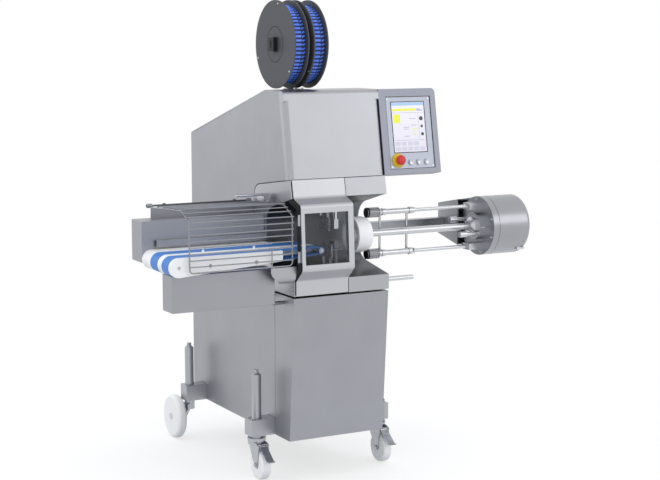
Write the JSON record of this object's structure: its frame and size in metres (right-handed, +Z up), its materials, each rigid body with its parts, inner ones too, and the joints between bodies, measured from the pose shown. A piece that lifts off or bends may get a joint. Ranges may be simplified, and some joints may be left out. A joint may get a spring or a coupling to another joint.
{
  "type": "sausage clipper",
  "caption": "Floor-standing double clipper with an open throat, belt conveyor under a wire guard, clip reels on top, leaning control panel and a filling horn with its brake drive.",
  "frame": {"origin": "on the floor, in the middle of the machine's outline", "axes": "+X along the product from the conveyor to the filling horn, +Y from the operator to the rear, +Z up"},
  "size_m": [1.754, 1.1295, 1.992],
  "materials": {
    "steel_satin": "satin bead-blasted stainless sheet",
    "steel_bright": "bright machined stainless steel",
    "steel_dark": "dull dark steel",
    "hood_metal": "light satin coating",
    "plastic_white": "machined white polyethylene",
    "plastic_black": "moulded black plastic",
    "belt_blue": "blue food-grade belt",
    "clip_blue": "blue carrier band with clips",
    "window_clear": "clear guard window",
    "screen_glass": "lit touch screen",
    "red_plastic": "red moulded plastic",
    "yellow_plastic": "yellow moulded plastic",
    "motor_grey": "grey machine paint"
  },
  "bodies": {
    "machine": {"base_frame": "steel_satin", "left_side_panel": "steel_satin", "right_side_panel": "steel_satin", "rear_panel": "steel_satin", "head_cover": "steel_satin", "clip_covers": "steel_satin", "throat_liner": "steel_satin", "panel_housing": "steel_satin", "conveyor_housing": "steel_satin", "drive_drum": "steel_satin", "support_beam": "steel_satin", "panel_fascia": "steel_bright", "side_rod": "steel_bright", "guide_rods": "steel_bright", "horn_tube": "steel_bright", "hinge_pins": "steel_dark", "reel_stand": "steel_dark", "horn_clamp": "steel_dark", "clip_die": "steel_dark", "conveyor_rails": "plastic_white", "casing_brake": "plastic_white", "hood_frame": "plastic_black", "conveyor_belts": "belt_blue", "touch_screen": "screen_glass", "estop_collar": "yellow_plastic", "gear_motor": "motor_grey"},
    "door": {"lower_door": "steel_satin"},
    "hood": {"guard_hood": "hood_metal", "hood_window": "window_clear"},
    "cage": {"wire_guard": "steel_bright", "guard_handle": "steel_bright"},
    "reel_l": {"reel_left": "plastic_black", "clip_winding_left": "clip_blue"},
    "reel_r": {"reel_right": "plastic_black", "clip_winding_right": "clip_blue"},
    "estop": {"estop_button": "red_plastic"},
    "button_start": {"start_button": "steel_bright"},
    "button_stop": {"stop_button": "steel_bright"},
    "button_reset": {"reset_button": "steel_bright"},
    "roller_drive": {"drive_roller": "steel_bright"},
    "roller_idler": {"idler_roller": "steel_bright"},
    "carriage": {"rod_carriage": "steel_bright"},
    "knob_up": {"knob_upper": "steel_dark"},
    "knob_low": {"knob_lower": "steel_dark"},
    "punch": {"clip_punch": "steel_bright"},
    "displacer_up": {"displacer_upper": "steel_bright"},
    "displacer_low": {"displacer_lower": "steel_bright"},
    "cam": {"cam_shaft": "steel_bright"},
    "front_post_left": {"front_leg_left": "steel_bright"},
    "fork_left": {"caster_fork_left": "steel_bright"},
    "castor_left": {"caster_wheel_left": "plastic_white"},
    "pedal_left": {"caster_pedal_left": "steel_dark"},
    "rear_post_left": {"rear_leg_left": "steel_bright"},
    "wheel_left": {"rear_wheel_left": "plastic_white"},
    "front_post_right": {"front_leg_right": "steel_bright"},
    "fork_right": {"caster_fork_right": "steel_bright"},
    "castor_right": {"caster_wheel_right": "plastic_white"},
    "pedal_right": {"caster_pedal_right": "steel_dark"},
    "rear_post_right": {"rear_leg_right": "steel_bright"},
    "wheel_right": {"rear_wheel_right": "plastic_white"}
  },
  "joints": [
    {"name": "door_hinge", "type": "hinge", "parent": "machine", "child": "door", "pos_m": [0.127, -0.447, 0.48], "axis": [0, 0, 1], "range_deg": [0, 110]},
    {"name": "hood_hinge", "type": "hinge", "parent": "machine", "child": "hood", "pos_m": [-0.324, -0.543, 1.04], "axis": [0, 0, -1], "range_deg": [0, 100]},
    {"name": "cage_hinge", "type": "hinge", "parent": "machine", "child": "cage", "pos_m": [-0.575, -0.129, 1.156], "axis": [-1, 0, 0], "range_deg": [0, 80]},
    {"name": "reel_left_spin", "type": "hinge", "parent": "machine", "child": "reel_l", "pos_m": [-0.261, -0.274, 1.811], "axis": [1, 0, 0], "continuous": true},
    {"name": "reel_right_spin", "type": "hinge", "parent": "machine", "child": "reel_r", "pos_m": [-0.173, -0.274, 1.811], "axis": [1, 0, 0], "continuous": true},
    {"name": "estop_press", "type": "slide", "parent": "machine", "child": "estop", "axis": [0, 0.9851, -0.1719], "range_m": [0, 0.006], "stiffness_N_per_m": 800},
    {"name": "start_press", "type": "slide", "parent": "machine", "child": "button_start", "axis": [0, 0.9851, -0.1719], "range_m": [0, 0.002], "stiffness_N_per_m": 500},
    {"name": "stop_press", "type": "slide", "parent": "machine", "child": "button_stop", "axis": [0, 0.9851, -0.1719], "range_m": [0, 0.002], "stiffness_N_per_m": 500},
    {"name": "reset_press", "type": "slide", "parent": "machine", "child": "button_reset", "axis": [0, 0.9851, -0.1719], "range_m": [0, 0.002], "stiffness_N_per_m": 500},
    {"name": "drive_roller_spin", "type": "hinge", "parent": "machine", "child": "roller_drive", "pos_m": [-0.8385, -0.419, 0.9535], "axis": [0, 1, 0], "continuous": true},
    {"name": "idler_roller_spin", "type": "hinge", "parent": "machine", "child": "roller_idler", "pos_m": [-0.205, -0.419, 0.978], "axis": [0, 1, 0], "continuous": true},
    {"name": "carriage_slide", "type": "slide", "parent": "machine", "child": "carriage", "axis": [1, 0, 0], "range_m": [0, 0.055]},
    {"name": "knob_upper_turn", "type": "hinge", "parent": "carriage", "child": "knob_up", "pos_m": [0.1, -0.399, 1.106], "axis": [1, 0, 0], "continuous": true},
    {"name": "knob_lower_turn", "type": "hinge", "parent": "carriage", "child": "knob_low", "pos_m": [0.1, -0.399, 0.93], "axis": [1, 0, 0], "continuous": true},
    {"name": "displacer_upper_slide", "type": "slide", "parent": "machine", "child": "displacer_up", "axis": [0, 0, -1], "range_m": [0, 0.035]},
    {"name": "displacer_lower_slide", "type": "slide", "parent": "machine", "child": "displacer_low", "axis": [0, 0, 1], "range_m": [0, 0.035]},
    {"name": "punch_slide", "type": "slide", "parent": "machine", "child": "punch", "axis": [0, 0, -1], "range_m": [0, 0.042]},
    {"name": "cam_shaft_spin", "type": "hinge", "parent": "machine", "child": "cam", "pos_m": [-0.105, -0.179, 0.5], "axis": [1, 0, 0], "continuous": true},
    {"name": "front_leg_left_lift", "type": "slide", "parent": "machine", "child": "front_post_left", "axis": [0, 0, -1], "range_m": [0, 0.06]},
    {"name": "caster_left_swivel", "type": "hinge", "parent": "front_post_left", "child": "fork_left", "pos_m": [-0.397, -0.291, 0.15], "axis": [0, 0, 1], "continuous": true},
    {"name": "caster_left_roll", "type": "hinge", "parent": "fork_left", "child": "castor_left", "pos_m": [-0.397, -0.331, 0.0625], "axis": [1, 0, 0], "continuous": true},
    {"name": "pedal_left_press", "type": "hinge", "parent": "fork_left", "child": "pedal_left", "pos_m": [-0.397, -0.349, 0.141], "axis": [1, 0, 0], "range_deg": [0, 15], "stiffness_Nm_per_rad": 0.8},
    {"name": "rear_leg_left_lift", "type": "slide", "parent": "machine", "child": "rear_post_left", "axis": [0, 0, -1], "range_m": [0, 0.06]},
    {"name": "rear_wheel_left_roll", "type": "hinge", "parent": "rear_post_left", "child": "wheel_left", "pos_m": [-0.45, 0.465, 0.1], "axis": [1, 0, 0], "continuous": true},
    {"name": "front_leg_right_lift", "type": "slide", "parent": "machine", "child": "front_post_right", "axis": [0, 0, -1], "range_m": [0, 0.06]},
    {"name": "caster_right_swivel", "type": "hinge", "parent": "front_post_right", "child": "fork_right", "pos_m": [0.187, -0.291, 0.15], "axis": [0, 0, 1], "continuous": true},
    {"name": "caster_right_roll", "type": "hinge", "parent": "fork_right", "child": "castor_right", "pos_m": [0.187, -0.331, 0.0625], "axis": [1, 0, 0], "continuous": true},
    {"name": "pedal_right_press", "type": "hinge", "parent": "fork_right", "child": "pedal_right", "pos_m": [0.187, -0.349, 0.141], "axis": [1, 0, 0], "range_deg": [0, 15], "stiffness_Nm_per_rad": 0.8},
    {"name": "rear_leg_right_lift", "type": "slide", "parent": "machine", "child": "rear_post_right", "axis": [0, 0, -1], "range_m": [0, 0.06]},
    {"name": "rear_wheel_right_roll", "type": "hinge", "parent": "rear_post_right", "child": "wheel_right", "pos_m": [0.24, 0.465, 0.1], "axis": [1, 0, 0], "continuous": true}
  ],
  "couplings": [
    {"joint": "idler_roller_spin", "follows": "drive_roller_spin", "ratio": 3.3333},
    {"joint": "displacer_lower_slide", "follows": "displacer_upper_slide", "ratio": 1},
    {"joint": "punch_slide", "follows": "displacer_upper_slide", "ratio": 1.2}
  ]
}
